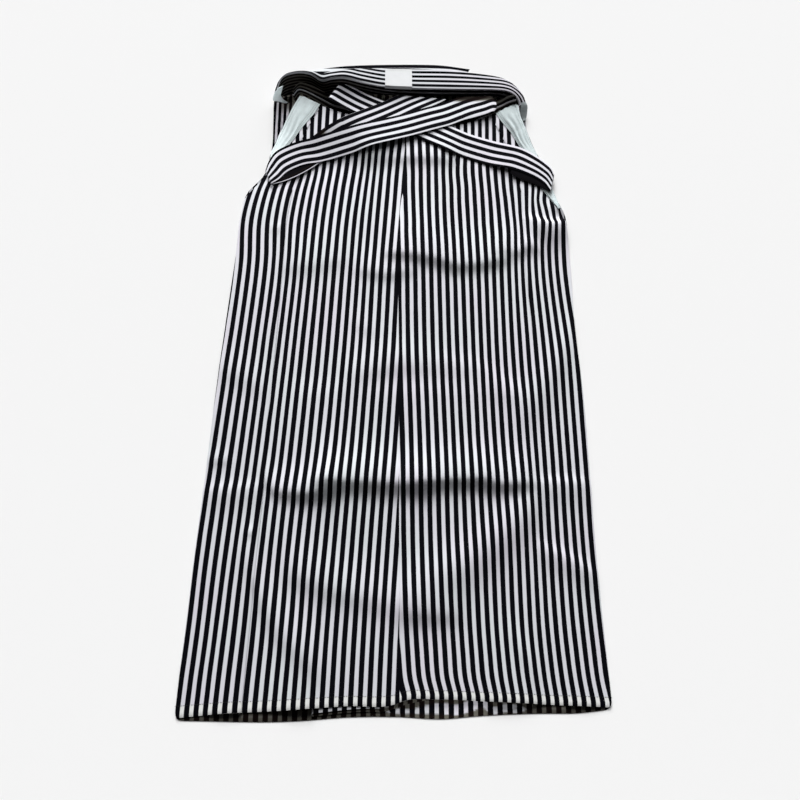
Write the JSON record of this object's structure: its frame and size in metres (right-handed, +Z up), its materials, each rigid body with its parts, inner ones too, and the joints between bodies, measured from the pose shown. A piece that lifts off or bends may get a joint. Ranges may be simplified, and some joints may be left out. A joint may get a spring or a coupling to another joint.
{
  "type": "hakama trousers",
  "caption": "Hakama trousers laid flat, front up: striped legs with pressed pleats, waistbands, long crossed front ties, pale side facings and a bare label.",
  "frame": {"origin": "centre of the laid garment's bounding box, on the surface that it lies on", "axes": "+X to the viewer's right, +Y from the hems to the waist, +Z up from the surface"},
  "size_m": [0.558, 1.0253, 0.0651],
  "materials": {
    "striped_cloth": "woven lengthwise stripes of black and white, dull with a faint sheen",
    "facing_cloth": "plain pale tape, slightly shiny",
    "label_cloth": "plain woven label, bare"
  },
  "bodies": {
    "root": {"back_facing_left": "facing_cloth", "back_facing_right": "facing_cloth", "back_left": "striped_cloth", "back_right": "striped_cloth", "back_tie_left": "striped_cloth", "back_tie_right": "striped_cloth", "back_waistband": "striped_cloth", "crotch_gusset": "striped_cloth", "front_facing_left": "facing_cloth", "front_facing_right": "facing_cloth", "front_left": "striped_cloth", "front_right": "striped_cloth", "front_tie_left": "striped_cloth", "front_tie_right": "striped_cloth", "front_waistband": "striped_cloth", "size_label": "label_cloth"}
  },
  "joints": []
}
